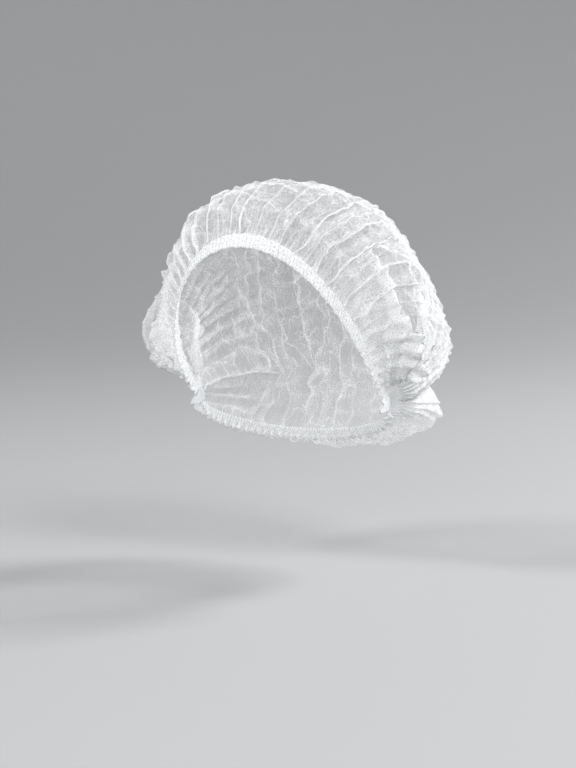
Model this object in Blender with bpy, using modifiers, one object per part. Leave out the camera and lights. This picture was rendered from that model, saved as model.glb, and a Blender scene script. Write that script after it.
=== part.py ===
"""A disposable hair cover cap: one pleated sheet of thin non-woven cloth, as it sits on a head.

The sheet is folded into narrow pleats that run from ear to ear. Both ends of the pleats are pressed
into an end seal beside an ear, and the two long edges are gathered on elastic: one hem crosses the
forehead and the other the nape. The cloth between them opens like a pram hood about the line through
the two seals, so each row of SECTIONS is one leaning arch from seal to seal. The cloth is drawn here
as three panels that meet along pressed pleats, because each then has a simple shape of its own: the
front panel over the forehead, the back panel over the back of the head, and the nape panel.

Metres, +Z up. The face looks along -Y and the wearer's left is +X. The origin is where the crown's
inner face rests on the top of the head.
"""

import math
from collections import namedtuple

import bpy
from mathutils import Matrix, Vector, noise

# Driving sizes
CROWN_REACH = 0.165  # from the line through the seals up to the top of the crown
SEAL_HALF_SPAN = 0.079  # from the middle of the head out to each end seal
SEAL_SETBACK = 0.004  # the seals lie this far behind the head's upright axis
CLOTH_WALL = 0.0010  # thickness of the crown
HEM_WALL = 0.0016  # thickness of a hem: folded cloth round flat elastic
HEM_WIDTH = 0.0100  # height of a gathered hem
HEM_END_SHARE = 0.6  # a hem narrows to this share of its height beside a seal
FOREHEAD_LEAN = 56  # the front hem's lean over the forehead; beside a seal it has the first section's
FRONT_TUCK = 32  # how far the front hem turns in against the forehead, in degrees
SEAL_RADIUS = 0.0060  # the pleats end this far round a seal's centre
SEAL_THICKNESS = 0.0030  # all the pressed pleats of a seal
SEAL_TAIL = 0.0160  # from a seal's centre to the tip of its tail
SEAL_TAIL_LEAN = -24  # the tail's direction, in degrees above the forward horizontal
SEAL_TIP = 0.0010  # the tail's point is cut this far short
PIECE_GAP = 0.0003  # clearance between pieces that meet
PANEL_GAP = 0.0006  # clearance between the outer faces of two panels, whose walls lean together

# Gathers and pleats. The crown's mesh has a row of points on each crest and in each valley.
GATHERS = 36  # gathers from seal to seal that the elastic makes
PLEATS = 15  # pressed pleats from the front hem to the rear hem
FRONT_PANEL_END = 5  # the front and back panels meet behind this many pleats
BACK_PANEL_END = 10  # the back and nape panels meet behind this many
GATHER_DEPTH = 0.0021  # half the height of a gather above a hem
GATHER_REACH = 0.0750  # a gather fades over this length
PLEAT_DEPTH = 0.0032  # half the height of a pleat in the fan beside a seal
SLACK_DEPTH = 0.0060  # half the height of the soft dents in the bag behind the head
SLACK_LENGTH = 0.0550  # from one soft dent to the next
FOLD_WIDTH = 0.0120  # from a fold's crest to where it runs out on each side
FOLD_HEIGHT = 0.0045  # height of the largest fold

# One leaning arch a row, from the forehead over the top and round the back to the nape. lean is in
# degrees above the forward horizontal. reach is a share of CROWN_REACH. flare, how far the fan beside
# the seal stands out, and shoulder, how full the arch is above it, are shares of SEAL_HALF_SPAN.
Section = namedtuple("Section", "lean reach flare shoulder")
SECTIONS = (
    Section(48, 0.890, 0.00, 0.05),
    Section(56, 0.920, 0.03, 0.06),
    Section(63, 0.985, 0.09, 0.16),
    Section(75, 1.010, 0.22, 0.26),
    Section(88, 1.000, 0.50, 0.30),
    Section(99, 1.000, 0.34, 0.30),
    Section(112, 0.995, 0.18, 0.31),
    Section(125, 0.980, 0.12, 0.34),
    Section(142, 0.940, 0.12, 0.41),
    Section(154, 0.900, 0.12, 0.42),
    Section(165, 0.840, 0.10, 0.31),
    Section(172, 0.745, 0.06, 0.17),
    Section(180, 0.760, 0.08, 0.28),
    Section(191, 0.750, 0.10, 0.35),
    Section(202, 0.615, 0.08, 0.29),
    Section(212, 0.400, 0.04, 0.14),
    Section(222, 0.235, 0.00, 0.00),
)

# The cap doesn't sit evenly: shares of the flare and the shoulder that each side keeps
Side = namedtuple("Side", "flare shoulder")
LEFT = Side(0.70, 1.00)
RIGHT = Side(1.00, 1.12)

# Folds that stand out by themselves, one a row: where each starts and ends, as the share of the way
# from the right seal to the left one and the lean in degrees, then its shares of FOLD_WIDTH and
# FOLD_HEIGHT.
Fold = namedtuple("Fold", "ear_from lean_from ear_to lean_to width height")
FOLDS = (
    Fold(0.726, 55, 0.630, 93, 1.00, 1.00),
    Fold(0.714, 92, 0.810, 88, 0.85, 0.90),
    Fold(0.800, 105, 0.780, 150, 0.75, 0.70),
    Fold(0.290, 56, 0.360, 90, 1.00, 0.80),
    Fold(0.270, 94, 0.200, 90, 0.85, 0.80),
    Fold(0.190, 110, 0.230, 150, 0.75, 0.70),
    Fold(0.450, 100, 0.560, 140, 1.00, 0.90),
)

# Worked out from the sizes above
SEAL_DROP = CROWN_REACH - CLOTH_WALL
EAR_LEAN = math.radians(SECTIONS[0].lean)
REAR_LEAN = math.radians(SECTIONS[-1].lean)
CROWDING = 0.143  # evens out the steps along an arch, which is taller than it is wide
FAN_PLACE = 0.16  # the fan's crest, as a share of the way from a seal up to the middle of an arch
FAN_END = 0.42  # the pleats lie flat from here up


def smooth(low, high, value):
    """0 below low, 1 above high and an even curve between them."""
    share = min(1.0, max(0.0, (value - low) / (high - low)))
    return share * share * (3 - 2 * share)


def zigzag(turns):
    """A pleat's section: 1 on each crest and -1 in each valley, straight between them."""
    return 1 - 4 * abs(turns - math.floor(turns) - 0.5)


def section_at(lean):
    """The reach, flare and shoulder of the arch at this lean, on a smooth curve through the table."""
    rows = SECTIONS
    at = max(i for i in range(len(rows) - 1) if i == 0 or rows[i].lean <= math.degrees(lean) + 1e-9)
    near, far = rows[at], rows[at + 1]
    before, after = rows[max(at - 1, 0)], rows[min(at + 2, len(rows) - 1)]
    span = far.lean - near.lean
    share = (math.degrees(lean) - near.lean) / span
    values = []
    for name in ("reach", "flare", "shoulder"):
        a, b = getattr(near, name), getattr(far, name)
        into = span * (b - getattr(before, name)) / (far.lean - before.lean)
        out_of = span * (getattr(after, name) - a) / (after.lean - near.lean)
        square, cube = share**2, share**3
        values.append(
            (2 * cube - 3 * square + 1) * a
            + (cube - 2 * square + share) * into
            + (3 * square - 2 * cube) * b
            + (cube - square) * out_of
        )
    reach, flare, shoulder = values
    return reach * CROWN_REACH, flare * SEAL_HALF_SPAN, shoulder * SEAL_HALF_SPAN


def rise_at(ear):
    """The share of the way up an arch: 0 at both seals and 1 in the middle."""
    angle = math.pi * ear - CROWDING * math.sin(2 * math.pi * ear)
    return 1 - abs(1 - angle / (math.pi / 2))


def front_lean(ear):
    """The lean of the front hem, which dips from the forehead towards each seal."""
    return EAR_LEAN + (math.radians(FOREHEAD_LEAN) - EAR_LEAN) * math.sin(rise_at(ear) * math.pi / 2)


def smooth_point(ear, lean):
    """A point of the cap's outer face with no gathers. ear runs from 0, the right seal, to 1."""
    reach, flare, shoulder = section_at(lean)
    rise = rise_at(ear)
    fan = rise / FAN_PLACE
    out = SEAL_HALF_SPAN * math.cos(rise * math.pi / 2)
    way, side = (1, LEFT) if ear > 0.5 else (-1, RIGHT)
    out += side.flare * flare * fan**2 * math.exp(2 - 2 * fan)
    out += side.shoulder * shoulder * math.sin(rise * math.pi)
    up = SEAL_RADIUS + (reach - SEAL_RADIUS) * math.sin(rise * math.pi / 2)
    return Vector((way * out, SEAL_SETBACK - up * math.cos(lean), up * math.sin(lean) - SEAL_DROP))


def outward_at(ear, lean):
    """The direction straight out of the cloth."""
    step = 1e-3
    ear = min(max(ear, step), 1 - step)
    along = smooth_point(ear + step, lean) - smooth_point(ear - step, lean)
    across = smooth_point(ear, lean + step) - smooth_point(ear, lean - step)
    return along.cross(across).normalized()


def fold_height(ear, lean):
    """How far the folds of the table lift the cloth here."""
    height = 0.0
    here = smooth_point(ear, lean)
    for fold in FOLDS:
        start = smooth_point(fold.ear_from, math.radians(fold.lean_from))
        end = smooth_point(fold.ear_to, math.radians(fold.lean_to))
        line = end - start
        share = min(1.0, max(0.0, (here - start).dot(line) / line.length_squared))
        away = (here - start - line * share).length / (fold.width * FOLD_WIDTH)
        ends = smooth(0, 0.2, share) * smooth(0, 0.2, 1 - share)
        height += fold.height * FOLD_HEIGHT * ends * max(0.0, 1 - away) ** 2
    return height


def gather_height(ear, lean):
    """The gathers beside the two hems: deepest a little above the elastic, and fading from there."""
    reach = section_at(lean)[0] * math.sin(rise_at(ear) * math.pi / 2)
    from_hem = reach * max(0.0, min(lean - front_lean(ear), REAR_LEAN - lean))
    depth = (0.35 + 0.65 * smooth(0, HEM_WIDTH, from_hem)) * math.exp(-from_hem / GATHER_REACH)
    uneven = 1 + 0.8 * noise.noise(Vector((ear * 23, lean * 1.5, 0)))
    return GATHER_DEPTH * depth * uneven * zigzag(GATHERS * ear)


def pleat_height(ear, share):
    """The pressed pleats, which stand out as a fan beside each seal and lie flat further up."""
    rise = rise_at(ear)
    depth = smooth(0, FAN_PLACE, rise) * (1 - smooth(FAN_PLACE, FAN_END, rise))
    depth *= smooth(0.05, 0.30, share) * smooth(0, 0.12, 1 - share)
    return PLEAT_DEPTH * depth * zigzag(PLEATS * share)


def slack_height(ear, lean):
    """The soft dents of the loose bag behind the head."""
    place = smooth_point(ear, lean) / SLACK_LENGTH
    loose = smooth(math.radians(85), math.radians(130), lean) * smooth(0, 0.35, rise_at(ear))
    return SLACK_DEPTH * loose * noise.noise(place + Vector((3.1, 1.7, 5.3)))


def cap_point(ear, share):
    """A point of the gathered cap's outer face. share runs from 0, the front hem, to 1, the rear one."""
    lean = front_lean(ear) + share * (REAR_LEAN - front_lean(ear))
    height = gather_height(ear, lean) + pleat_height(ear, share)
    height += slack_height(ear, lean) + fold_height(ear, lean)
    return smooth_point(ear, lean) + outward_at(ear, lean) * height


def material(name, colour, roughness):
    made = bpy.data.materials.new(name)
    made.use_nodes = True
    shader = made.node_tree.nodes["Principled BSDF"]
    shader.inputs["Base Color"].default_value = (*colour, 1)
    shader.inputs["Roughness"].default_value = roughness
    return made


def place_in(collection, piece):
    for other in piece.users_collection:
        other.objects.unlink(piece)
    collection.objects.link(piece)


def cloth_wall(name, columns, rows, place, wall, finish, collection):
    """A grid of cloth laid out by place(ear, share), and thickened inwards."""
    bpy.ops.mesh.primitive_grid_add(x_subdivisions=columns, y_subdivisions=rows, size=2)
    piece = bpy.context.object
    piece.name = piece.data.name = name
    for vertex in piece.data.vertices:
        vertex.co = place((vertex.co.x + 1) / 2, (vertex.co.y + 1) / 2)
    piece.data.materials.append(finish)
    piece.data.shade_smooth()
    thick = piece.modifiers.new("Wall", "SOLIDIFY")
    thick.thickness = wall
    thick.offset = -1
    place_in(collection, piece)


def build_panel(name, first, last, finish, collection):
    """A panel of the pleated sheet, from one pleat to another. It starts clear of the panel before."""

    def place(ear, share):
        here = cap_point(ear, (first + share * (last - first)) / PLEATS)
        if share == 0 and first > 0:
            step = cap_point(ear, (first + 0.5) / PLEATS) - here
            return here + step * min(0.5, PANEL_GAP / step.length)
        return here

    cloth_wall(name, 2 * GATHERS, 2 * (last - first), place, CLOTH_WALL, finish, collection)


def build_hem(name, way, tuck, finish, collection):
    """A hem runs on from the crown's edge. way is -1 at the forehead and 1 at the nape, and tuck is
    how far it turns in towards the head, in degrees."""

    def place(ear, share):
        lean = REAR_LEAN if way > 0 else front_lean(ear)
        turn = math.radians(tuck) * math.sin(rise_at(ear) * math.pi / 2)
        down = way * math.cos(turn) * Vector((0, math.sin(lean), math.cos(lean)))
        down += math.sin(turn) * Vector((0, math.cos(lean), -math.sin(lean)))
        full = HEM_WIDTH * (HEM_END_SHARE + (1 - HEM_END_SHARE) * smooth(0, 0.25, rise_at(ear)))
        width = PIECE_GAP + full * (share if way > 0 else 1 - share)
        return cap_point(ear, 1 if way > 0 else 0) + down * width

    cloth_wall(name, 2 * GATHERS, 2, place, HEM_WALL, finish, collection)


def build_seal(name, side, finish, collection):
    """The pressed end of all the pleats: a disc, drawn out along two tangents into a pointed tail."""
    radius = SEAL_RADIUS - PIECE_GAP
    bpy.ops.mesh.primitive_cylinder_add(vertices=28, radius=radius, depth=SEAL_THICKNESS)
    piece = bpy.context.object
    piece.name = piece.data.name = name
    touch = radius**2 / SEAL_TAIL
    slope = radius / math.sqrt(SEAL_TAIL**2 - radius**2)
    for vertex in piece.data.vertices:
        if vertex.co.x > touch:
            share = (vertex.co.x - touch) / (radius - touch)
            vertex.co.x = touch + share * (SEAL_TAIL - SEAL_TIP - touch)
            vertex.co.y = math.copysign((SEAL_TAIL - vertex.co.x) * slope, vertex.co.y)
    tail_lean = math.radians(SEAL_TAIL_LEAN)
    tail = Vector((0, -math.cos(tail_lean), math.sin(tail_lean)))
    outward = Vector((1, 0, 0))
    turned = Matrix((tail, outward.cross(tail), outward)).transposed().to_4x4()
    centre = Vector((side * (SEAL_HALF_SPAN - CLOTH_WALL / 2), SEAL_SETBACK, -SEAL_DROP))
    piece.data.transform(Matrix.Translation(centre) @ turned)
    piece.data.materials.append(finish)
    place_in(collection, piece)


def build():
    for old in list(bpy.data.objects):
        bpy.data.objects.remove(old)
    collection = bpy.data.collections.new("hair_cover_cap")
    bpy.context.scene.collection.children.link(collection)
    cloth = material("non_woven_cloth", (0.90, 0.91, 0.92), 0.80)
    hem = material("gathered_hem", (0.93, 0.93, 0.93), 0.75)
    pressed = material("pressed_seal", (0.88, 0.89, 0.90), 0.55)
    build_panel("crown_front", 0, FRONT_PANEL_END, cloth, collection)
    build_panel("crown_back", FRONT_PANEL_END, BACK_PANEL_END, cloth, collection)
    build_panel("crown_nape", BACK_PANEL_END, PLEATS, cloth, collection)
    build_hem("front_hem", -1, FRONT_TUCK, hem, collection)
    build_hem("rear_hem", 1, 0, hem, collection)
    build_seal("end_seal_left", 1, pressed, collection)
    build_seal("end_seal_right", -1, pressed, collection)


build()
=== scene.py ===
import math
import random
from collections import namedtuple

import bpy
import numpy as np
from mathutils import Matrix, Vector, noise


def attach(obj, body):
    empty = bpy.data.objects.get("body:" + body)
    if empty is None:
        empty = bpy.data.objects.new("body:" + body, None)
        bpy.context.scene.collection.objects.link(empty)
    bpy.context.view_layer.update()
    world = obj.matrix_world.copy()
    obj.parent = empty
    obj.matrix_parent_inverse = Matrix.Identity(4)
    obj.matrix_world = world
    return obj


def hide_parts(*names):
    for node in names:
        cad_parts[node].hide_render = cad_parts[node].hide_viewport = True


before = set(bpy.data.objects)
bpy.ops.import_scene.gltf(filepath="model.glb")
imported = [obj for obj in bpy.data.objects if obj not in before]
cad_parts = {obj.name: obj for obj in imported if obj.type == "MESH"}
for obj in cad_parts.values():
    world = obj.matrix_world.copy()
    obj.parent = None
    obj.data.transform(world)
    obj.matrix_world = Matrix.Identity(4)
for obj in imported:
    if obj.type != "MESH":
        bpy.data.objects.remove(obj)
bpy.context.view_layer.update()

# Camera. It looks at the worn cap from in front and a little above, turned towards its left seal, from
# far enough off that the whole front hem shows with room round it.
CAMERA_AIM = Vector((-0.0008, 0, -0.152))
CAMERA_DISTANCE = 1.4
CAMERA_AZIMUTH = math.radians(25)
CAMERA_ELEVATION = math.radians(5)
SENSOR_WIDTH = 36
FOCAL_PIXELS = 1842
IMAGE_HEIGHT = 768

camera = bpy.data.objects.new("camera", bpy.data.cameras.new("camera"))
camera.data.sensor_width = SENSOR_WIDTH
camera.data.lens = FOCAL_PIXELS / IMAGE_HEIGHT * SENSOR_WIDTH
towards_camera = Vector((
    math.sin(CAMERA_AZIMUTH) * math.cos(CAMERA_ELEVATION),
    -math.cos(CAMERA_AZIMUTH) * math.cos(CAMERA_ELEVATION),
    math.sin(CAMERA_ELEVATION),
))
camera.location = CAMERA_AIM + CAMERA_DISTANCE * towards_camera
camera.rotation_euler = towards_camera.to_track_quat("Z", "Y").to_euler()
bpy.context.scene.collection.objects.link(camera)
bpy.context.scene.camera = camera

# Crown. One square sheet of thin spunbond cloth, pressed into knife pleats that run from side to side
# and caught at both ends in a weld. Worn, it opens like a pram hood about the line through the two
# welds, and the elastic in its two long edges draws it into gathers.
CLOTH_SIDE = 0.53
CROWN_REACH = 0.165
SEAL_HALF_SPAN = 0.079
SEAL_SETBACK = 0.004
SEAL_DROP = 0.164
SEAL_RADIUS = 0.006
CROWDING = 0.143
FAN_PLACE = 0.16
MIDDLE_LEAN = 56

# One leaning arch a row: its lean in degrees above the forward horizontal, its reach as a share of
# CROWN_REACH, then how far the fan stands out and how full the shoulder is, as shares of the span.
SECTIONS = np.array((
    (48, 0.890, 0.00, 0.05),
    (56, 0.920, 0.03, 0.06),
    (63, 0.985, 0.09, 0.16),
    (75, 1.010, 0.22, 0.26),
    (88, 1.000, 0.50, 0.30),
    (99, 1.000, 0.34, 0.30),
    (112, 0.995, 0.18, 0.31),
    (125, 0.980, 0.12, 0.34),
    (142, 0.940, 0.12, 0.41),
    (154, 0.900, 0.12, 0.42),
    (165, 0.840, 0.10, 0.31),
    (172, 0.745, 0.06, 0.17),
    (180, 0.760, 0.08, 0.28),
    (191, 0.750, 0.10, 0.35),
    (202, 0.615, 0.08, 0.29),
    (212, 0.400, 0.04, 0.14),
    (222, 0.235, 0.00, 0.00),
))
SEAL_LEAN, REAR_LEAN = SECTIONS[0, 0], SECTIONS[-1, 0]

# The shares of the flare and of the shoulder that the two sides keep
LEFT_SIDE = (0.70, 1.00)
RIGHT_SIDE = (1.00, 1.12)


def smooth(low, high, value):
    """0 below low, 1 above high and an even curve between them."""
    share = np.clip((value - low) / (high - low), 0, 1)
    return share * share * (3 - 2 * share)


def arch_values(lean):
    """The reach, flare and shoulder of the arch at each lean, on a smooth curve through SECTIONS."""
    leans, values = SECTIONS[:, 0], SECTIONS[:, 1:]
    last = len(leans) - 1
    after = np.minimum(np.arange(last + 1) + 1, last)
    before = np.maximum(np.arange(last + 1) - 1, 0)
    slopes = (values[after] - values[before]) / (leans[after] - leans[before])[:, None]
    at = np.clip(np.searchsorted(leans, lean, side="right") - 1, 0, last - 1)
    span = (leans[at + 1] - leans[at])[..., None]
    share = (lean[..., None] - leans[at][..., None]) / span
    square, cube = share**2, share**3
    found = (2 * cube - 3 * square + 1) * values[at] + (cube - 2 * square + share) * span * slopes[at]
    found += (3 * square - 2 * cube) * values[at + 1] + (cube - square) * span * slopes[at + 1]
    return found[..., 0] * CROWN_REACH, found[..., 1] * SEAL_HALF_SPAN, found[..., 2] * SEAL_HALF_SPAN


def rise_at(arc):
    """The share of the way up an arch: 0 at both seals and 1 in the middle."""
    return 1 - abs(1 - (math.pi * arc - CROWDING * np.sin(2 * math.pi * arc)) / (math.pi / 2))


def front_lean(arc):
    """The lean of the front hem, which dips from its middle towards each seal."""
    return SEAL_LEAN + (MIDDLE_LEAN - SEAL_LEAN) * np.sin(rise_at(arc) * math.pi / 2)


def smooth_cap(arc, lean):
    """The cap's outer face with no gathers. arc runs from 0, the right seal, to 1, the left one."""
    reach, flare, shoulder = arch_values(lean)
    rise = rise_at(arc)
    fan = rise / FAN_PLACE
    left = arc > 0.5
    out = SEAL_HALF_SPAN * np.cos(rise * math.pi / 2)
    out += np.where(left, LEFT_SIDE[0], RIGHT_SIDE[0]) * flare * fan**2 * np.exp(2 - 2 * fan)
    out += np.where(left, LEFT_SIDE[1], RIGHT_SIDE[1]) * shoulder * np.sin(rise * math.pi)
    up = SEAL_RADIUS + (reach - SEAL_RADIUS) * np.sin(rise * math.pi / 2)
    angle = np.radians(lean)
    back = SEAL_SETBACK - up * np.cos(angle)
    high = up * np.sin(angle) - SEAL_DROP
    return np.stack((np.where(left, out, -out), back, high), -1)


def directions(surface):
    """The directions along the rows and down the columns of a grid of points, and the outward normal."""
    along = np.gradient(surface, axis=1)
    across = np.gradient(surface, axis=0)
    found = (along, across, np.cross(along, across))
    return [v / np.maximum(np.linalg.norm(v, axis=-1, keepdims=True), 1e-12) for v in found]


def noise_over(points, length, offset=0.0):
    """Smooth noise from -1 to 1 at each point, with features about this length."""
    flat = points.reshape(-1, points.shape[-1]) / length + offset
    return np.array([noise.noise(Vector(point)) for point in flat]).reshape(points.shape[:-1])


# Each point of the sheet has its gather and its pleat, and from them its place on the cap. Over the
# top, where nothing holds them, the gathers drift and wiggle from side to side.
GATHERS = 36
GATHER_STEPS = (0, 0.07, 0.16, 0.30, 0.50, 0.70, 0.84, 0.93)
GATHER_DRIFT, DRIFT_SCALE = 1.1, (0.2, 0.14, 1)
GATHER_WIGGLE, WIGGLE_SCALE = 0.22, (0.9, 1.1, 1)
PLEATS = 24
PLEAT_STEPS = 10

gather = np.array([k + step for k in range(GATHERS) for step in GATHER_STEPS] + [GATHERS])
pleat = np.arange(PLEATS * PLEAT_STEPS + 1) / PLEAT_STEPS
gather_grid, pleat_grid = np.meshgrid(gather, pleat)
flat_place = np.stack((gather_grid, pleat_grid, 0 * pleat_grid), -1)
open_share = np.sqrt(np.sin(math.pi * pleat_grid / PLEATS) * np.sin(math.pi * gather_grid / GATHERS))
drift = GATHER_DRIFT * noise_over(flat_place * DRIFT_SCALE, 1, offset=4.2)
drift += GATHER_WIGGLE * noise_over(flat_place * WIGGLE_SCALE, 1, offset=2.7)
arc_grid = (gather_grid + open_share * drift) / GATHERS
lean_grid = front_lean(arc_grid) + pleat_grid / PLEATS * (REAR_LEAN - front_lean(arc_grid))
base = smooth_cap(arc_grid, lean_grid)
along, across, outward = directions(base)
steps = np.linalg.norm(np.diff(base, axis=0), axis=-1)
from_front = np.vstack((np.zeros(len(gather)), np.cumsum(steps, axis=0)))
from_rear = from_front[-1] - from_front
rise = rise_at(arc_grid)

# The gathers: each runs up from the elastic as a ridge that leans over to one side. They are sharp in
# front and rounder in the bag behind, and every one has its own size and length.
GATHER_HEIGHT, REAR_GATHER_SHARE = 0.0056, 0.60
GATHER_WIDTH, REAR_GATHER_WIDTH = 0.15, 0.30
GATHER_LEAN = 0.0030
GATHER_SIZES, GATHER_TURNS = (0.45, 1.45), (0.3, 1.2)
FRONT_GATHER_LENGTHS, REAR_GATHER_LENGTHS = (0.045, 0.150), (0.060, 0.180)
GATHER_FOOT, GATHER_FOOT_LENGTH = 0.35, 0.010
GATHER_ENDS = (0, 0.10)
REAR_LEANS = (85, 125)
CALM_SIDE, CALM_SIDE_LEANS, CALM_SIDE_RISES = 0.6, (88, 106), (0.35, 0.70)


def gather_run(from_hem, length):
    """How deep a gather is this far from its hem: it grows out of the hem and then dies away."""
    foot = GATHER_FOOT + (1 - GATHER_FOOT) * smooth(0, GATHER_FOOT_LENGTH, from_hem)
    return foot * np.exp(-from_hem / length)


dice = np.random.default_rng(5)
gather_size = dice.uniform(*GATHER_SIZES, GATHERS + 1)
gather_side = dice.choice((-1, 1), GATHERS + 1) * dice.uniform(*GATHER_TURNS, GATHERS + 1)
front_length = dice.uniform(*FRONT_GATHER_LENGTHS, GATHERS + 1)
rear_length = dice.uniform(*REAR_GATHER_LENGTHS, GATHERS + 1)
nearest = np.rint(gather_grid).astype(int)
to_rear = smooth(*REAR_LEANS, lean_grid)
ridge_width = GATHER_WIDTH + (REAR_GATHER_WIDTH - GATHER_WIDTH) * to_rear
ridge = np.exp(-(((gather_grid - nearest) / ridge_width) ** 2))
gather_depth = gather_run(from_front, front_length[nearest]) + gather_run(from_rear, rear_length[nearest])
gather_depth *= gather_size[nearest] * smooth(*GATHER_ENDS, rise)
gather_depth *= 1 - CALM_SIDE * smooth(*CALM_SIDE_LEANS, lean_grid) * (1 - smooth(*CALM_SIDE_RISES, rise))

# The pleats: they are open over the top and shut towards a seal, where each lies over the next. Each
# shuts at its own height, and they end short of the seals' discs and of the hems.
PLEAT_DEPTH = 0.0046
PLEAT_LEAN = 0.0026
PLEAT_REACHES = (0.010, 0.024)
PLEAT_FADE, REAR_PLEAT_FADE, REAR_FADE_LEANS = 0.16, 0.14, (90, 125)
PLEAT_FADE_RUN, PLEAT_UNEVEN = 2.1, 0.12
HEM_PLEATS = 3
FLAT_SIDE, FLAT_SIDE_LEANS, FLAT_SIDE_RISES = 0.5, (90, 110), (0.08, 0.16)
FLAT_NAPE, FLAT_NAPE_LEANS, FLAT_NAPE_RISES = 0.5, (155, 172), (0.06, 0.12)

reach_here = SEAL_RADIUS + (arch_values(lean_grid)[0] - SEAL_RADIUS) * np.sin(rise * math.pi / 2)
leg = CLOTH_SIDE / (2 * PLEATS)
pitch = reach_here * math.radians(REAR_LEAN - MIDDLE_LEAN) / PLEATS
pleat_place = np.stack((arc_grid * 9, np.rint(pleat_grid) / 1.7, 0 * pleat_grid), -1)
uneven = noise_over(pleat_place, 1, offset=8.1)
pleat_fade = PLEAT_FADE + REAR_PLEAT_FADE * smooth(*REAR_FADE_LEANS, lean_grid)
pleat_shut = 1 - smooth(pleat_fade, PLEAT_FADE_RUN * pleat_fade, rise + PLEAT_UNEVEN * uneven)
pleat_shut *= smooth(*PLEAT_REACHES, reach_here)
pleat_shut *= smooth(0, HEM_PLEATS, pleat_grid) * smooth(0, HEM_PLEATS, PLEATS - pleat_grid)
pleat_shut *= 1 - FLAT_SIDE * smooth(*FLAT_SIDE_LEANS, lean_grid) * smooth(*FLAT_SIDE_RISES, rise)
pleat_depth = 0.5 * np.sqrt(np.maximum(leg**2 - (pitch / 2) ** 2, 0))
pleat_depth = np.minimum(pleat_depth, PLEAT_DEPTH) * pleat_shut
pleat_depth *= 1 - FLAT_NAPE * smooth(*FLAT_NAPE_LEANS, lean_grid) * smooth(*FLAT_NAPE_RISES, rise)
zigzag = 1 - 4 * abs(pleat_grid - np.floor(pleat_grid) - 0.5)

# The fan's crest on each side: the front pleats stand up behind the hem and end in an edge that leans
# back over the bag behind it. Near the seal they bunch into a thick scalloped ruffle. Behind the edge
# there is a lower band of thinner cloth, and the side draws in to a waist above the seal. CREST_LINE is
# the edge: the share of the way from the right seal to the left one, and the lean in degrees.
CREST_LINE = np.array((
    (0.66, 76), (0.72, 72), (0.76, 70), (0.80, 68), (0.83, 68), (0.85, 72),
    (0.87, 75), (0.89, 76), (0.92, 79), (0.95, 83), (0.98, 87),
))
CREST_RUN, CREST_DROP = 15, 3.5
CREST_HEIGHT, CREST_OVERHANG = 0.0075, 0.0070
CREST_RIGHT_SHARE = 0.4
CREST_STARTS, CREST_ENDS = (0.02, 0.08), (0.38, 0.56)
CREST_EDGE = 0.8
SCALLOP, SCALLOP_DEPTH, SCALLOP_LEAST, SCALLOP_UNEVEN = 0.0095, 2.6, 0.3, 0.3
RUFFLE_HEIGHT = 0.0048
RUFFLE_STARTS, RUFFLE_ENDS, RUFFLE_LEANS = (0.02, 0.06), (0.22, 0.28), (-24, -13)
PANEL_LEANS = (-14, -10)
BAND_DEPTH, BAND_LEANS = 0.0045, (13, 34)
WAIST_LEAN, WAIST_RISE = (122, 20), (0.14, 0.10)
WAIST_LEFT, WAIST_RIGHT = 0.0065, 0.0055

arch_run = np.cumsum(np.linalg.norm(np.gradient(base, axis=1), axis=-1), axis=1)
seal_run = np.minimum(arch_run, arch_run[:, -1:] - arch_run)
scallop_place = seal_run / SCALLOP + SCALLOP_UNEVEN * noise_over(base, 0.016, offset=7.7)
scallop = abs(np.sin(math.pi * scallop_place))
low = smooth(*RUFFLE_STARTS, rise) * (1 - smooth(*RUFFLE_ENDS, rise))
crest_lean = np.interp(np.maximum(arc_grid, 1 - arc_grid), CREST_LINE[:, 0], CREST_LINE[:, 1])
scallop_lean = SCALLOP_DEPTH * (scallop - 0.5) * (SCALLOP_LEAST + (1 - SCALLOP_LEAST) * low)
from_crest = lean_grid - crest_lean - scallop_lean
side_share = np.where(arc_grid > 0.5, 1, CREST_RIGHT_SHARE)
crest_rise = smooth(*CREST_STARTS, rise) * (1 - smooth(*CREST_ENDS, rise)) * side_share
behind = 1 - smooth(0, CREST_DROP, from_crest)
crest = (1 - smooth(0, CREST_RUN, -from_crest)) * behind * crest_rise
ruffle = smooth(*RUFFLE_LEANS, from_crest) * behind * low * side_share
panel = smooth(*PANEL_LEANS, from_crest) * behind * crest_rise * (1 - low)
band = (1 - behind) * (1 - smooth(*BAND_LEANS, from_crest)) * crest_rise
crest_edge = np.exp(-((from_crest / CREST_EDGE) ** 2)) * crest_rise
waist_lean = (lean_grid - WAIST_LEAN[0]) / WAIST_LEAN[1]
waist_rise = (rise - WAIST_RISE[0]) / WAIST_RISE[1]
waist = np.exp(-(waist_lean**2) - waist_rise**2) * np.where(arc_grid > 0.5, WAIST_LEFT, WAIST_RIGHT)

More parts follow.
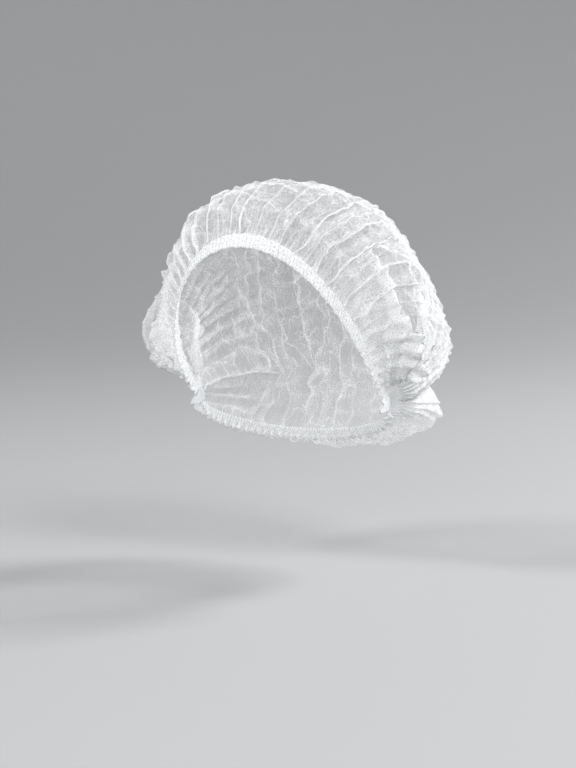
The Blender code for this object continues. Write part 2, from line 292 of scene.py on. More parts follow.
# Folds that stand out by themselves: where each starts and ends, as the share of the way from the
# right seal to the left one and the lean in degrees, then its width and height.
Fold = namedtuple("Fold", "arc_from lean_from arc_to lean_to width height")
FOLDS = (
    Fold(0.660, 56, 0.645, 87, 0.008, 0.0046),
    Fold(0.700, 72, 0.645, 106, 0.006, 0.0040),
    Fold(0.698, 74, 0.720, 84, 0.005, 0.0040),
    Fold(0.745, 50, 0.803, 72, 0.006, 0.0034),
    Fold(0.706, 56, 0.724, 63, 0.004, 0.0026),
    Fold(0.724, 63, 0.745, 61, 0.004, 0.0026),
    Fold(0.820, 53, 0.857, 63, 0.006, 0.0040),
    Fold(0.857, 63, 0.845, 73, 0.006, 0.0040),
    Fold(0.805, 112, 0.762, 137, 0.004, 0.0030),
    Fold(0.822, 110, 0.777, 139, 0.004, 0.0030),
    Fold(0.290, 56, 0.360, 90, 0.008, 0.0036),
    Fold(0.270, 94, 0.200, 90, 0.007, 0.0036),
    Fold(0.190, 110, 0.230, 150, 0.006, 0.0032),
    Fold(0.450, 100, 0.560, 140, 0.008, 0.0040),
    Fold(0.668, 116, 0.735, 124, 0.005, 0.0026),
    Fold(0.735, 100, 0.770, 96, 0.004, 0.0024),
)
LONG_FOLDS, LONG_FOLD_LEANS, LONG_FOLD_SLANT = 16, (96, 200), 12
LONG_FOLD_STARTS, LONG_FOLD_RUNS, LONG_FOLD_FURTHEST = (0.12, 0.55), (0.18, 0.42), 0.90
LONG_FOLD_WIDTHS, LONG_FOLD_HEIGHTS = (0.009, 0.015), (0.0028, 0.0048)
SMALL_FOLDS, SMALL_FOLD_LEANS, SMALL_FOLD_SLANT = 60, (58, 205), 0.025
SMALL_FOLD_STARTS, SMALL_FOLD_RUNS = (0.08, 0.92), (6, 16)
SMALL_FOLD_WIDTHS, SMALL_FOLD_HEIGHTS = (0.003, 0.006), (0.0007, 0.0022)
FOLD_ENDS, FOLD_ROUNDNESS = 0.25, 1.5
FOLD_PUSH = 0.7
FOLD_EDGE, SHARP_FOLD, BRIGHT_FOLD = 0.55, 0.5, 0.003
SLACK_DEPTH, SLACK_LENGTH = 0.0050, 0.055
SLACK_LEANS, SLACK_RISES = (85, 130), (0, 0.35)
CRUMPLE_DEPTH, CRUMPLE_LENGTH = 0.0016, 0.030
CRUMPLE_LEVEL, CRUMPLE_DIP = 0.5, 1.6
CRUMPLE_LEANS, CRUMPLE_RISES = (70, 120), (0.10, 0.35)
FRONT_CRUMPLE, REAR_CRUMPLE = 0.2, 0.6
CRUMPLE_FRONT_RUN, CRUMPLE_REAR_RUN = 0.03, 0.02
HEM_CALM_RUN = 0.004


def fold_lift(surface, folds):
    """How far the folds lift the cloth, how far they push it sideways, and how near a crest it is."""
    lift = np.zeros(surface.shape[:2])
    push = np.zeros(surface.shape)
    crest = np.zeros(surface.shape[:2])
    for number, fold in enumerate(folds):
        ends = np.array(((fold.arc_from, fold.lean_from), (fold.arc_to, fold.lean_to)))
        start, end = smooth_cap(ends[:, 0], ends[:, 1])
        line = end - start
        share = np.clip((surface - start) @ line / (line @ line), 0, 1)
        aside = surface - start - share[..., None] * line
        distance = np.linalg.norm(aside, axis=-1)
        run = smooth(0, FOLD_ENDS, share) * smooth(0, FOLD_ENDS, 1 - share)
        here = np.clip(1 - distance / fold.width, 0, 1) ** FOLD_ROUNDNESS * run
        lift += fold.height * here
        side = np.cross(line / np.linalg.norm(line), start - (0, 0, -0.1))
        side /= np.linalg.norm(side)
        push += (FOLD_PUSH * fold.height * (1 if number % 2 else -1) * here)[..., None] * side
        sharp = min(1.0, fold.height / fold.width / SHARP_FOLD)
        bright = min(1.0, fold.height / BRIGHT_FOLD)
        crest = np.maximum(crest, smooth(FOLD_EDGE, 1, here) * bright * sharp)
    return lift, push, crest


def small_folds():
    """Short creases scattered over the crown, most of them running the way of the gathers, and long
    soft folds across the bag behind, where the cloth has most slack."""
    dice = random.Random(11)
    made = []
    first, last = LONG_FOLD_LEANS
    for number in range(LONG_FOLDS):
        arc = dice.uniform(*LONG_FOLD_STARTS)
        lean = first + (last - first) * (number + dice.random()) / LONG_FOLDS
        far = min(LONG_FOLD_FURTHEST, arc + dice.uniform(*LONG_FOLD_RUNS))
        width, height = dice.uniform(*LONG_FOLD_WIDTHS), dice.uniform(*LONG_FOLD_HEIGHTS)
        made.append(Fold(arc, lean, far, lean + dice.gauss(0, LONG_FOLD_SLANT), width, height))
    for _ in range(SMALL_FOLDS):
        arc, lean = dice.uniform(*SMALL_FOLD_STARTS), dice.uniform(*SMALL_FOLD_LEANS)
        run, slant = dice.uniform(*SMALL_FOLD_RUNS), dice.gauss(0, SMALL_FOLD_SLANT)
        width, height = dice.uniform(*SMALL_FOLD_WIDTHS), dice.uniform(*SMALL_FOLD_HEIGHTS)
        made.append(Fold(arc, lean, arc + slant, lean + run, width, height))
    return made


loose = smooth(*SLACK_LEANS, lean_grid) * smooth(*SLACK_RISES, rise)
slack = noise_over(base, SLACK_LENGTH, offset=np.array((3.1, 1.7, 5.3))) * loose * SLACK_DEPTH
creases = CRUMPLE_LEVEL - CRUMPLE_DIP * abs(noise_over(base, CRUMPLE_LENGTH, offset=1.9))
crumple = CRUMPLE_DEPTH * creases * smooth(*CRUMPLE_RISES, rise)
crumple *= FRONT_CRUMPLE + REAR_CRUMPLE * smooth(*CRUMPLE_LEANS, lean_grid)
crumple *= smooth(0, CRUMPLE_FRONT_RUN, from_front) * smooth(0, CRUMPLE_REAR_RUN, from_rear)
lift, push, fold_edge = fold_lift(base, list(FOLDS) + small_folds())
hem_calm = smooth(0, HEM_CALM_RUN, from_front) * smooth(0, HEM_CALM_RUN, from_rear)

# All of these together. Where pleats are shut or the crest stands, little is left of the gathers.
GATHERS_LOST, GATHERS_LOST_RUN, LOST_TO_CREST = 0.85, (0.008, 0.022), 0.5
GATHER_SINK = 0.3

doubled = np.clip(pleat_shut + LOST_TO_CREST * crest, 0, 1)
gather_depth *= 1 - GATHERS_LOST * doubled * smooth(*GATHERS_LOST_RUN, from_front)
gather_height = GATHER_HEIGHT * (1 - (1 - REAR_GATHER_SHARE) * to_rear)
height = gather_height * gather_depth * (ridge - GATHER_SINK) + pleat_depth * zigzag + slack + crumple
height += lift * hem_calm + CREST_HEIGHT * crest - BAND_DEPTH * band - waist
height += RUFFLE_HEIGHT * (scallop - 0.5) * ruffle
cloth = base + outward * height[..., None]
cloth += along * (GATHER_LEAN * gather_side[nearest] * gather_depth * ridge)[..., None]
cloth += across * (PLEAT_LEAN * zigzag * pleat_shut + CREST_OVERHANG * crest**3)[..., None]
cloth += push * hem_calm[..., None]

# The sheet is larger than this shape, so a short cloth simulation lets it buckle into small folds:
# how much larger it is, how long it is let go, how far it may move, and where it is held.
SPARE_CLOTH = 0.36
BUCKLE_FRAMES = 18
BUCKLE_LIMIT = 0.008
HELD_RUN, FREEST = (0.001, 0.012), 0.88
DOUBLED_STIFFNESS = 0.6
EDGE_RUN = 0.008
FRONT_SHARE, FRONT_LEANS = 0.55, (80, 115)
CALM_NAPE, CALM_NAPE_LEANS, CALM_NAPE_RISES = 0.6, (160, 172), (0.25, 0.45)


def sheet_mesh(name, surface):
    """A grid primitive whose points are moved onto this surface."""
    rows, columns = surface.shape[:2]
    bpy.ops.object.select_all(action="DESELECT")
    bpy.ops.mesh.primitive_grid_add(x_subdivisions=columns - 1, y_subdivisions=rows - 1, size=2)
    piece = bpy.context.object
    piece.name = piece.data.name = name
    piece.data.vertices.foreach_set("co", surface.reshape(-1).astype(np.float32))
    piece.data.update()
    piece.data.shade_smooth()
    return piece


def between(values, axis):
    """The same curve with a point added midway between each two along this axis."""
    values = np.moveaxis(values, axis, 0)
    padded = np.concatenate((2 * values[:1] - values[1:2], values, 2 * values[-1:] - values[-2:-1]))
    finer = np.empty((2 * len(values) - 1, *values.shape[1:]))
    finer[::2] = values
    finer[1::2] = (9 * (padded[1:-2] + padded[2:-1]) - padded[:-3] - padded[3:]) / 16
    return np.moveaxis(finer, 0, axis)


def evened(values):
    """These values with each point's averaged with its neighbours' on the grid."""
    for axis in (0, 1):
        values = np.moveaxis(values, axis, 0)
        padded = np.concatenate((values[:1], values, values[-1:]))
        values = np.moveaxis((padded[:-2] + 2 * values + padded[2:]) / 4, 0, axis)
    return values


def buckle(surface, held):
    """How far each point moves when the sheet, which is too large for this shape, is let go. Its hems
    and welds are held and the rest is held softly, so it buckles into small folds."""
    piece = sheet_mesh("buckling", surface)
    pins = piece.vertex_groups.new(name="held")
    for index, weight in enumerate(held.reshape(-1)):
        pins.add((index,), float(weight), "REPLACE")
    loose = piece.modifiers.new("loose", "CLOTH")
    loose.settings.quality = 4
    loose.settings.mass = 0.1
    loose.settings.tension_stiffness = loose.settings.compression_stiffness = 12
    loose.settings.shear_stiffness = 6
    loose.settings.bending_stiffness = 0.06
    loose.settings.shrink_min = loose.settings.shrink_max = -SPARE_CLOTH
    loose.settings.vertex_group_mass = "held"
    loose.settings.pin_stiffness = 4
    loose.settings.effector_weights.gravity = 0
    loose.collision_settings.use_collision = False
    for frame_number in range(1, BUCKLE_FRAMES + 1):
        bpy.context.scene.frame_set(frame_number)
    bpy.ops.object.modifier_apply(modifier="loose")
    bpy.context.scene.frame_set(1)
    found = np.empty(surface.size, np.float32)
    piece.data.vertices.foreach_get("co", found)
    bpy.data.objects.remove(piece)
    moved = evened(found.reshape(surface.shape) - surface)
    distance = np.linalg.norm(moved, axis=-1, keepdims=True)
    return moved * np.minimum(1, BUCKLE_LIMIT / np.maximum(distance, 1e-9))


edge = np.minimum(np.minimum(from_front, from_rear), reach_here - SEAL_RADIUS)
doubled = np.clip(pleat_shut + crest + band + ruffle, 0, 1)
free = smooth(*HELD_RUN, edge) * (1 - DOUBLED_STIFFNESS * doubled)
moved = buckle(cloth[::2, ::2], 1 - FREEST * free[::2, ::2])
kept = smooth(0, EDGE_RUN, edge) * (FRONT_SHARE + (1 - FRONT_SHARE) * smooth(*FRONT_LEANS, lean_grid))
kept *= 1 - CALM_NAPE * smooth(*CALM_NAPE_LEANS, lean_grid) * (1 - smooth(*CALM_NAPE_RISES, rise))
cloth += between(between(moved, 0), 1) * kept[..., None]

# What the material needs to know at each point: how many layers of cloth lie over each other there,
# and how near it is to the lines where the cloth doubles over. The hollow is the see-through patch
# between the hem and the ruffle, low on each side.
LAYERS_RANGE = (0.8, 7)
BAND_THIN, HOLLOW_THIN = 0.4, 0.55
HOLLOW_STARTS, HOLLOW_ENDS, HOLLOW_LEANS = (0.08, 0.13), (0.24, 0.30), (-18, -10)
HOLLOW_HEM_RUN = 0.006
RUFFLE_LAYERS, SCALLOP_LAYERS = 3.0, 4.0
FRONT_PUCKER_RUN, REAR_PUCKER_RUN, HOLLOW_PUCKERS = 0.013, 0.010, 0.7


def keep_values(piece, **values):
    """Stores an array of numbers on the piece's points, one attribute for each name."""
    for name, numbers in values.items():
        stored = piece.data.attributes.new(name, "FLOAT", "POINT")
        stored.data.foreach_set("value", np.ascontiguousarray(numbers, np.float32).reshape(-1))


def cut_map(piece, across, along):
    """A UV map that measures the flat cut in metres, from each point's place in it."""
    layer = piece.data.uv_layers[0]
    layer.name = "cut"
    corners = np.empty(len(piece.data.loops), np.int32)
    piece.data.loops.foreach_get("vertex_index", corners)
    places = np.stack((across.reshape(-1)[corners], along.reshape(-1)[corners]), -1)
    layer.data.foreach_set("uv", places.astype(np.float32).reshape(-1))


crown = sheet_mesh("crown_cloth", cloth)
cell = np.linalg.norm(np.cross(np.gradient(cloth, axis=1), np.gradient(cloth, axis=0)), axis=-1)
flat_cell = np.gradient(gather)[None, :] * np.gradient(pleat)[:, None]
flat_cell *= CLOTH_SIDE**2 / (GATHERS * PLEATS)
hollow = smooth(*HOLLOW_STARTS, rise) * (1 - smooth(*HOLLOW_ENDS, rise)) * side_share
hollow *= (1 - smooth(*HOLLOW_LEANS, from_crest)) * smooth(0, HOLLOW_HEM_RUN, from_front)
layers = np.clip(flat_cell / np.maximum(cell, 1e-9), *LAYERS_RANGE)
layers *= 1 - BAND_THIN * band - HOLLOW_THIN * hollow
layers += panel + ruffle * (RUFFLE_LAYERS + SCALLOP_LAYERS * scallop)
near_hem = np.exp(-from_front / FRONT_PUCKER_RUN) + np.exp(-from_rear / REAR_PUCKER_RUN)
keep_values(
    crown,
    layers=layers,
    gather=gather_grid,
    gather_depth=np.clip(gather_depth, 0, 1),
    pleat=pleat_grid,
    pleat_depth=np.clip(pleat_shut, 0, 1),
    crest=np.maximum(fold_edge, crest_edge),
    near_hem=near_hem * (1 - HOLLOW_PUCKERS * hollow),
)
cut_map(crown, gather_grid / GATHERS * CLOTH_SIDE, pleat_grid / PLEATS * CLOTH_SIDE)

# The cloth's own finish. Each layer lets a fixed share of the light straight through, and scatters
# the rest, white and a little cooler where the web is thin.
CROWN_THINNESS = 0.77
THIN_WHITE, THICK_WHITE = (0.83, 0.84, 0.86, 1), (0.95, 0.95, 0.95, 1)
GLOW_WHITE, GLOW_SHARE = (0.94, 0.95, 0.95, 1), 0.35
FIBRE_TURNS = (0.5, 2.1, -0.6)
FIBRE_SCALE = (1900, 130, 1)
BOND_TURN, BOND_SCALE = 0.785, (620, 620, 620)
BOND_LAYERS = 0.5


def add_node(tree, kind, **inputs):
    """A new node of this kind, with its inputs set by name or by number, to a value or a socket."""
    made = tree.nodes.new(kind)
    for name, value in inputs.items():
        numbered = name[1:].isdigit()
        socket = made.inputs[int(name[1:])] if numbered else made.inputs[name.replace("_", " ")]
        if isinstance(value, bpy.types.NodeSocket):
            tree.links.new(value, socket)
        else:
            socket.default_value = value
    return made


def sum_up(tree, operation, first, second=0.0, third=0.0):
    """The output of a Math node on up to three numbers or sockets."""
    made = tree.nodes.new("ShaderNodeMath")
    made.operation = operation
    for socket, value in zip(made.inputs, (first, second, third)):
        if isinstance(value, bpy.types.NodeSocket):
            tree.links.new(value, socket)
        else:
            socket.default_value = value
    return made.outputs[0]


def stored(tree, name):
    """The number kept on the piece's points under this name."""
    made = tree.nodes.new("ShaderNodeAttribute")
    made.attribute_name = name
    return made.outputs["Fac"]


def flat_cut(tree):
    """The place on the flat cut, in metres."""
    made = tree.nodes.new("ShaderNodeUVMap")
    made.uv_map = "cut"
    return made.outputs[0]


def ranged(tree, value, low, high, to_low, to_high):
    """value moved from one range to another and held inside it."""
    made = add_node(tree, "ShaderNodeMapRange", i0=value, i1=low, i2=high, i3=to_low, i4=to_high)
    made.interpolation_type = "SMOOTHSTEP"
    return made.outputs[0]


def two_tints(tree, share, first, second):
    """The output of a colour Mix node that goes from the first tint to the second."""
    made = tree.nodes.new("ShaderNodeMix")
    made.data_type = "RGBA"
    tree.links.new(share, made.inputs["Factor"])
    made.inputs["A"].default_value = first
    made.inputs["B"].default_value = second
    return made.outputs["Result"]


def fibre_web(tree):
    """The spunbond web: random fibres in a few directions, thick and thin patches, and bond points."""
    cut = flat_cut(tree)
    speck = add_node(tree, "ShaderNodeTexNoise", Vector=cut, Scale=850.0, Detail=3.0)
    patch = add_node(tree, "ShaderNodeTexNoise", Vector=cut, Scale=70.0, Detail=4.0)
    web = ranged(tree, speck.outputs[0], 0.38, 0.62, 0.25, 1.55)
    for turn in FIBRE_TURNS:
        laid = add_node(tree, "ShaderNodeMapping", Vector=cut, Rotation=(0, 0, turn), Scale=FIBRE_SCALE)
        fibre = add_node(tree, "ShaderNodeTexNoise", Vector=laid.outputs[0], Scale=1.0, Detail=2.0)
        strand = ranged(tree, fibre.outputs[0], 0.56, 0.68, 0.0, 0.9)
        web = sum_up(tree, "ADD", web, strand)
    web = sum_up(tree, "MULTIPLY", web, ranged(tree, patch.outputs[0], 0.3, 0.7, 0.80, 1.18))
    spaced = add_node(tree, "ShaderNodeMapping", Vector=cut, Rotation=(0, 0, BOND_TURN), Scale=BOND_SCALE)
    points = add_node(tree, "ShaderNodeTexVoronoi", Vector=spaced.outputs[0], Scale=1.0, Randomness=0.12)
    bonds = ranged(tree, points.outputs[0], 0.10, 0.24, 1.0, 0.0)
    return web, bonds


def line_at(tree, phase, width):
    """1 where this phase passes a whole number, falling to 0 at this distance from it."""
    turned = sum_up(tree, "FRACT", sum_up(tree, "ADD", phase, 0.5))
    away = sum_up(tree, "ABSOLUTE", sum_up(tree, "SUBTRACT", turned, 0.5))
    return ranged(tree, away, width * 0.25, width, 1.0, 0.0)


def non_woven(name, thinness, layers_socket, finish_lines=None):
    """Thin white spunbond cloth. thinness is the share of light that one layer lets straight through."""
    made = bpy.data.materials.new(name)
    made.use_nodes = True
    tree = made.node_tree
    shader = tree.nodes["Principled BSDF"]
    web, bonds = fibre_web(tree)
    thick = sum_up(tree, "MULTIPLY", web, layers_socket(tree))
    thick = sum_up(tree, "ADD", thick, sum_up(tree, "MULTIPLY", bonds, BOND_LAYERS))
    if finish_lines:
        thick = sum_up(tree, "ADD", thick, finish_lines(tree))
    clear = sum_up(tree, "POWER", thinness, thick)
    cover = sum_up(tree, "SUBTRACT", 1.0, clear)
    tint = two_tints(tree, ranged(tree, web, 0.4, 1.8, 0.0, 1.0), THIN_WHITE, THICK_WHITE)
    tree.links.new(tint, shader.inputs["Base Color"])
    tree.links.new(ranged(tree, bonds, 0.0, 1.0, 0.78, 0.45), shader.inputs["Roughness"])
    shader.inputs["Specular IOR Level"].default_value = 0.35
    shader.inputs["Sheen Weight"].default_value = 0.25
    shader.inputs["Sheen Roughness"].default_value = 0.4
    bump = add_node(tree, "ShaderNodeBump", Strength=0.35, Distance=0.0002, Height=web).outputs[0]
    tree.links.new(bump, shader.inputs["Normal"])
    glow = add_node(tree, "ShaderNodeBsdfTranslucent", Color=GLOW_WHITE, Normal=bump)
    body = add_node(tree, "ShaderNodeMixShader", i0=GLOW_SHARE, i1=shader.outputs[0], i2=glow.outputs[0])
    gap = tree.nodes.new("ShaderNodeBsdfTransparent")
    whole = add_node(tree, "ShaderNodeMixShader", i0=cover, i1=gap.outputs[0], i2=body.outputs[0])
    tree.links.new(whole.outputs[0], tree.nodes["Material Output"].inputs["Surface"])
    return made


def thin_creases(tree, wide, long, width):
    """Thin wandering lines, about this far apart across the gathers and this long along them."""
    scale = (1 / wide, 1 / long, 1)
    drawn = add_node(tree, "ShaderNodeMapping", Vector=flat_cut(tree), Scale=scale).outputs[0]
    field = add_node(tree, "ShaderNodeTexNoise", Vector=drawn, Scale=1.0, Detail=2.5, Roughness=0.55)
    away = sum_up(tree, "ABSOLUTE", sum_up(tree, "SUBTRACT", field.outputs[0], 0.5))
    return ranged(tree, away, 0.0, width, 1.0, 0.0)


def crown_lines(tree):
    """The layers that the cloth has more where it doubles over: along the gathers' crests, in fine
    puckers by the hems, at the pleats' edges, in thin creases, and along the single folds."""
    gathers = line_at(tree, stored(tree, "gather"), 0.10)
    puckers = line_at(tree, sum_up(tree, "MULTIPLY", stored(tree, "gather"), 3.0), 0.30)
    edges = line_at(tree, sum_up(tree, "ADD", stored(tree, "pleat"), 0.5), 0.10)
    lines = (
        (sum_up(tree, "MULTIPLY", gathers, stored(tree, "gather_depth")), 3.0),
        (sum_up(tree, "MULTIPLY", puckers, stored(tree, "near_hem")), 1.8),
        (sum_up(tree, "MULTIPLY", edges, stored(tree, "pleat_depth")), 2.4),
        (thin_creases(tree, 0.022, 0.075, 0.016), 1.5),
        (thin_creases(tree, 0.040, 0.034, 0.011), 1.1),
        (stored(tree, "crest"), 2.4),
    )
    total = 0.0
    for line, more_layers in lines:
        total = sum_up(tree, "MULTIPLY_ADD", line, more_layers, total)
    return total


def crown_layers(tree):
    """The layers counted on the crown's points."""
    return stored(tree, "layers")


crown.data.materials.clear()
crown.data.materials.append(non_woven("spunbond_cloth", CROWN_THINNESS, crown_layers, crown_lines))
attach(crown, "root")
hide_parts("crown_front", "crown_back", "crown_nape")

# Hems. Each long edge of the sheet is folded over a narrow flat elastic and welded shut, and the
# elastic draws it into fine upright ribs. The front hem lies flat; the rear hem stands out as a frill.
HEM_WIDTH = 0.0100
HEM_END_SHARE, HEM_END_RISE = 0.6, 0.25
HEM_OVERLAP = 0.0010
HEM_SECTION = 16
HEM_CORNER = 0.45
HEM_SINK = 0.0004
HEM_THINNESS = 0.68
HEM_LAYERS = (2.6, 6.0)
ELASTIC_WAIST, ELASTIC_WIDTH = 0.35, 0.16
RIB_STEPS = 8
RIB_SWAY, RIB_VARIETY = 0.35, 0.5
RIB_DROOP = 0.0003
RIB_MIDDLE_SHARE = 0.55
RUFFLE_RIBS, RUFFLE_SWAY, RUFFLE_DROPS = 2.6, 0.5, (0.35, 1.0)
END_RUFFLE, END_RUFFLE_RISES = 0.0010, (0.02, 0.30)
Hem = namedtuple("Hem", "node way tuck ribs thickness rib ruffle")
HEMS = (
    Hem("front_hem", -1, 32, 114, 0.0014, 0.00036, 0.0006),
    Hem("rear_hem", 1, 0, 84, 0.0014, 0.00050, 0.0022),
)


def hem_lean(hem, arc):
    """The lean of the sheet's edge that this hem finishes."""
    return front_lean(arc) if hem.way < 0 else np.full(len(arc), float(REAR_LEAN))


def even_arcs(hem, count):
    """count places from seal to seal, evenly spaced along this hem."""
    fine = np.linspace(0, 1, 2001)
    arch = smooth_cap(fine, hem_lean(hem, fine))
    run = np.concatenate(((0,), np.cumsum(np.linalg.norm(np.diff(arch, axis=0), axis=-1))))
    return np.interp(np.linspace(0, run[-1], count), run, fine)


def hem_piece(hem):
    """A flat loop of cloth round the elastic, drawn up into ribs all along."""
    columns = hem.ribs * RIB_STEPS + 1
    arc = even_arcs(hem, columns)
    lean = hem_lean(hem, arc)
    edge = smooth_cap(arc, lean)
    rise = rise_at(arc)
    turn = np.radians(hem.tuck) * np.sin(rise * math.pi / 2)
    lean, level = np.radians(lean), np.zeros(columns)
    down = hem.way * np.cos(turn)[:, None] * np.stack((level, np.sin(lean), np.cos(lean)), -1)
    down += np.sin(turn)[:, None] * np.stack((level, np.cos(lean), -np.sin(lean)), -1)
    run = np.gradient(edge, axis=0)
    run /= np.linalg.norm(run, axis=-1, keepdims=True)
    out = np.cross(run, down) * hem.way
    out /= np.linalg.norm(out, axis=-1, keepdims=True)
    width = HEM_WIDTH * (HEM_END_SHARE + (1 - HEM_END_SHARE) * smooth(0, HEM_END_RISE, rise)) + HEM_OVERLAP
    rib = np.arange(columns) / RIB_STEPS
    along_rib = np.stack((rib, 0 * rib, 0 * rib), -1)
    sway = noise_over(along_rib, 2.3, offset=6.4)
    variety = 1 + RIB_VARIETY * noise_over(along_rib, 1.3, offset=2.2)
    wave = np.cos(2 * math.pi * (rib + RIB_SWAY * sway)) * variety
    ruffle = np.cos(2 * math.pi * (rib / RUFFLE_RIBS + RUFFLE_SWAY * sway))
    ruffle *= hem.ruffle + END_RUFFLE * (1 - smooth(*END_RUFFLE_RISES, rise))
    rows = []
    for k in range(HEM_SECTION + 1):
        angle = 2 * math.pi * k / HEM_SECTION
        drop = 0.5 - 0.5 * math.cos(angle)
        from_middle = abs(2 * drop - 1)
        face = math.sin(angle)
        body = math.copysign(abs(face) ** HEM_CORNER, face) * hem.thickness / 2
        body *= 1 - ELASTIC_WAIST * math.exp(-(((drop - 0.5) / ELASTIC_WIDTH) ** 2))
        proud = body + hem.rib * wave * (RIB_MIDDLE_SHARE + (1 - RIB_MIDDLE_SHARE) * from_middle)
        proud = proud + ruffle * smooth(*RUFFLE_DROPS, drop) - HEM_SINK
        lower = drop * width - HEM_OVERLAP + RIB_DROOP * wave * from_middle
        rows.append(edge + down * lower[:, None] + out * proud[:, None])
    surface = np.stack(rows)
    piece = sheet_mesh(hem.node + "_ribbed", surface[::-hem.way])
    across_cut = np.broadcast_to(arc * CLOTH_SIDE, surface.shape[:2])
    around = np.arange(HEM_SECTION + 1) / HEM_SECTION * 2 * HEM_WIDTH
    keep_values(piece, rib=np.broadcast_to(wave, surface.shape[:2]))
    cut_map(piece, across_cut, np.broadcast_to(around[:, None], surface.shape[:2]))
    bpy.ops.object.mode_set(mode="EDIT")
    bpy.ops.mesh.select_all(action="SELECT")
    bpy.ops.mesh.remove_doubles(threshold=1e-6)
    bpy.ops.mesh.fill_holes(sides=HEM_SECTION)
    bpy.ops.mesh.normals_make_consistent(inside=False)
    bpy.ops.object.mode_set(mode="OBJECT")
    return piece


def hem_layers(tree):
    """The ribs are thick where they fold back, and thinner between."""
    return ranged(tree, stored(tree, "rib"), -1.0, 1.0, *HEM_LAYERS)


hem_cloth = non_woven("gathered_spunbond", HEM_THINNESS, hem_layers)
for hem in HEMS:
    ribbed = hem_piece(hem)
    ribbed.data.materials.clear()
    ribbed.data.materials.append(hem_cloth)
    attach(ribbed, "root")
    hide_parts(hem.node)

# End seals. On each side all the pleats are pressed into one flat stack and welded across with narrow
# bars, and the stack's end is left as a short pointed tail.
LEAVES = 7
LEAF_THICKNESS = 0.00028
LEAF_SPACING = 0.00040
LEAF_INSETS = (0.0006, 0.0018)
LEAF_WAVE, LEAF_WAVES = 0.00025, 900
SEAL_CENTRE_OUT = 0.0785
SEAL_DISC = 0.0057
SEAL_TAIL, TAIL_VARIETY = 0.0150, 0.0022
TAIL_LEAN = math.radians(-24)
TAIL_TAPER = 0.55
FRAYED_SHARE = 0.02
PRESSED_DARK, PRESSED_LIGHT = (0.66, 0.68, 0.71, 1), (0.82, 0.83, 0.85, 1)


def end_seal(node, side):
    """A stack of thin leaves with the outline of the pressed end, each with its own length of tail."""
    dice = random.Random(3 if side > 0 else 4)
    leaves = []
    tail = Vector((0, -math.cos(TAIL_LEAN), math.sin(TAIL_LEAN)))
    outward = Vector((1, 0, 0))
    upward = outward.cross(tail)
    centre = Vector((side * SEAL_CENTRE_OUT, SEAL_SETBACK, -SEAL_DROP))
    for number in range(LEAVES):
        bpy.ops.object.select_all(action="DESELECT")
        bpy.ops.mesh.primitive_circle_add(vertices=64, radius=SEAL_DISC, fill_type="NGON")
        leaf = bpy.context.object
        bpy.ops.object.mode_set(mode="EDIT")
        bpy.ops.mesh.select_all(action="SELECT")
        for inset in LEAF_INSETS:
            bpy.ops.mesh.inset(thickness=inset)
        bpy.ops.object.mode_set(mode="OBJECT")
        touch = SEAL_DISC**2 / SEAL_TAIL
        longest = SEAL_TAIL - dice.uniform(0, TAIL_VARIETY)
        for vertex in leaf.data.vertices:
            if vertex.co.x > touch:
                share = (vertex.co.x - touch) / (SEAL_DISC - touch)
                vertex.co.x = touch + share * (longest - touch)
                vertex.co.y *= 1 - TAIL_TAPER * share
            vertex.co.y *= 1 - FRAYED_SHARE * dice.random()
            height = (number - (LEAVES - 1) / 2) * LEAF_SPACING
            outer = min(1, vertex.co.length / SEAL_DISC)
            vertex.co.z = height + LEAF_WAVE * math.sin(LEAF_WAVES * vertex.co.x + number) * outer
        thick = leaf.modifiers.new("wall", "SOLIDIFY")
        thick.thickness = LEAF_THICKNESS
        thick.offset = 0
        bpy.ops.object.modifier_apply(modifier="wall")
        leaves.append(leaf)
    bpy.ops.object.select_all(action="DESELECT")
    for leaf in leaves:
        leaf.select_set(True)
    bpy.context.view_layer.objects.active = leaves[0]
    bpy.ops.object.join()
    piece = bpy.context.object
    piece.name = piece.data.name = node + "_stack"
    for vertex in piece.data.vertices:
        place = vertex.co.copy()
        vertex.co = centre + tail * place.x + upward * place.y + outward * place.z * side
    if side < 0:
        piece.data.flip_normals()
    piece.data.shade_smooth()
    return piece


def pressed_cloth():
    """Many layers of spunbond welded together: opaque, slightly glossy and barred by the weld."""
    made = bpy.data.materials.new("pressed_spunbond")
    made.use_nodes = True
    tree = made.node_tree
    shader = tree.nodes["Principled BSDF"]
    place = tree.nodes.new("ShaderNodeTexCoord").outputs["Object"]
    speck = add_node(tree, "ShaderNodeTexNoise", Vector=place, Scale=900.0, Detail=3.0).outputs[0]
    wave = add_node(tree, "ShaderNodeTexWave", Vector=place, Scale=190.0, Distortion=0.6)
    wave.bands_direction = "Y"
    bars = wave.outputs[0]
    tint = two_tints(tree, ranged(tree, speck, 0.3, 0.7, 0.0, 1.0), PRESSED_DARK, PRESSED_LIGHT)
    tree.links.new(tint, shader.inputs["Base Color"])
    tree.links.new(ranged(tree, bars, 0.2, 0.8, 0.38, 0.62), shader.inputs["Roughness"])
    relief = sum_up(tree, "MULTIPLY_ADD", speck, 0.4, bars)
    bump = add_node(tree, "ShaderNodeBump", Strength=0.8, Distance=0.0007, Height=relief)
    tree.links.new(bump.outputs[0], shader.inputs["Normal"])
    shader.inputs["Sheen Weight"].default_value = 0.15
    return made


pressed = pressed_cloth()
for node, side in (("end_seal_left", 1), ("end_seal_right", -1)):
    stack = end_seal(node, side)
    stack.data.materials.clear()
    stack.data.materials.append(pressed)
    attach(stack, "root")
    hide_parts(node)

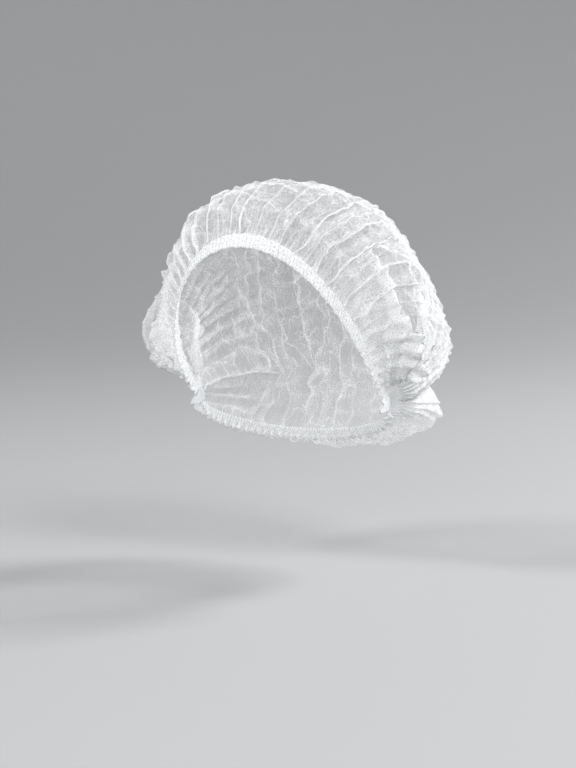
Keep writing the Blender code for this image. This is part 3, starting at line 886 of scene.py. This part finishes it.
# Floor and backdrop. A pale grey floor that rises all round in one soft curve, so that the white
# cloth stands out against it and there is no edge behind it from any side.
FLOOR_HEIGHT = -0.300
FLOOR_RADIUS = 1.2
FLOOR_RINGS = ((2.2, 0.0), (3.0, 0.10), (3.7, 0.45), (4.1, 1.10), (4.3, 2.2), (4.3, 4.5))
FLOOR_GREY, FLOOR_ROUGHNESS = (0.34, 0.345, 0.35, 1), 0.85
bpy.ops.object.select_all(action="DESELECT")
bpy.ops.mesh.primitive_circle_add(
    vertices=64, radius=FLOOR_RADIUS, fill_type="NGON", location=(0, 0, FLOOR_HEIGHT)
)
floor = bpy.context.object
floor.name = floor.data.name = "floor"
bpy.ops.object.mode_set(mode="EDIT")
bpy.ops.mesh.select_all(action="SELECT")
bpy.ops.mesh.select_mode(type="EDGE")
bpy.ops.mesh.region_to_loop()
ring, level = FLOOR_RADIUS, 0.0
for wide, high in FLOOR_RINGS:
    bpy.ops.mesh.extrude_edges_move(TRANSFORM_OT_translate={"value": (0, 0, high - level)})
    bpy.ops.transform.resize(value=(wide / ring, wide / ring, 1), center_override=(0, 0, 0))
    ring, level = wide, high
bpy.ops.object.mode_set(mode="OBJECT")
floor.data.shade_smooth()
rounded = floor.modifiers.new("soft", "SUBSURF")
rounded.levels = rounded.render_levels = 2
floor_finish = bpy.data.materials.new("pale_floor")
floor_finish.use_nodes = True
floor_shader = floor_finish.node_tree.nodes["Principled BSDF"]
floor_shader.inputs["Base Color"].default_value = FLOOR_GREY
floor_shader.inputs["Roughness"].default_value = FLOOR_ROUGHNESS
floor.data.materials.append(floor_finish)

# Light. Two broad soft lamps of the same power, high on the camera's left and right, and a stronger
# one behind and above that shines through the cloth and brightens its folds, with an even pale sky.
Lamp = namedtuple("Lamp", "name place size power")
LAMPS = (
    Lamp("key_light", (-1.50, -2.30, 2.50), 0.9, 84),
    Lamp("fill_light", (2.30, -1.60, 1.90), 1.1, 84),
    Lamp("back_light", (1.70, 2.10, 1.90), 0.8, 120),
)
SKY_WHITE, SKY_STRENGTH = (0.97, 0.98, 1.0, 1), 0.36
SEEN_THROUGH = 32
for lamp in LAMPS:
    light = bpy.data.objects.new(lamp.name, bpy.data.lights.new(lamp.name, "AREA"))
    light.data.size = lamp.size
    light.data.energy = lamp.power
    light.location = lamp.place
    light.rotation_euler = (Vector(lamp.place) - CAMERA_AIM).to_track_quat("Z", "Y").to_euler()
    bpy.context.scene.collection.objects.link(light)
world = bpy.data.worlds.new("studio")
world.use_nodes = True
sky = world.node_tree.nodes["Background"]
sky.inputs["Color"].default_value = SKY_WHITE
sky.inputs["Strength"].default_value = SKY_STRENGTH
bpy.context.scene.world = world
bpy.context.scene.cycles.transparent_max_bounces = SEEN_THROUGH
bpy.context.scene.view_settings.view_transform = "Standard"
